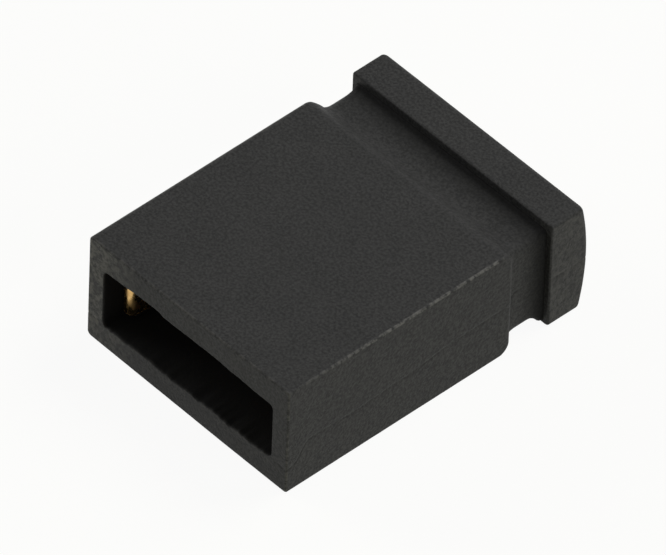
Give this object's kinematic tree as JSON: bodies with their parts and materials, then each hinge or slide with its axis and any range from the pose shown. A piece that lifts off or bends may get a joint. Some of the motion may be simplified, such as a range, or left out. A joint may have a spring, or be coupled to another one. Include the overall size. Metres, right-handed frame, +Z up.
{
  "type": "jumper shunt",
  "caption": "Closed-top jumper shunt: a black moulded housing with a flanged grip end holds a folded gold-plated strip that joins two neighbouring header posts.",
  "frame": {"origin": "bottom centre of the shunt as it lies on a broad face", "axes": "+X across the mouth, along the line through the two posts; +Y from the mouth to the grip flange; +Z up, through the thickness"},
  "size_m": [0.005, 0.0068, 0.0024],
  "materials": {
    "housing_plastic": "fine spark-eroded grain, matte black moulded polyester",
    "contact_plating": "thin gold flash over nickel on phosphor bronze"
  },
  "bodies": {
    "root": {"housing": "housing_plastic", "contact": "contact_plating"}
  },
  "joints": []
}
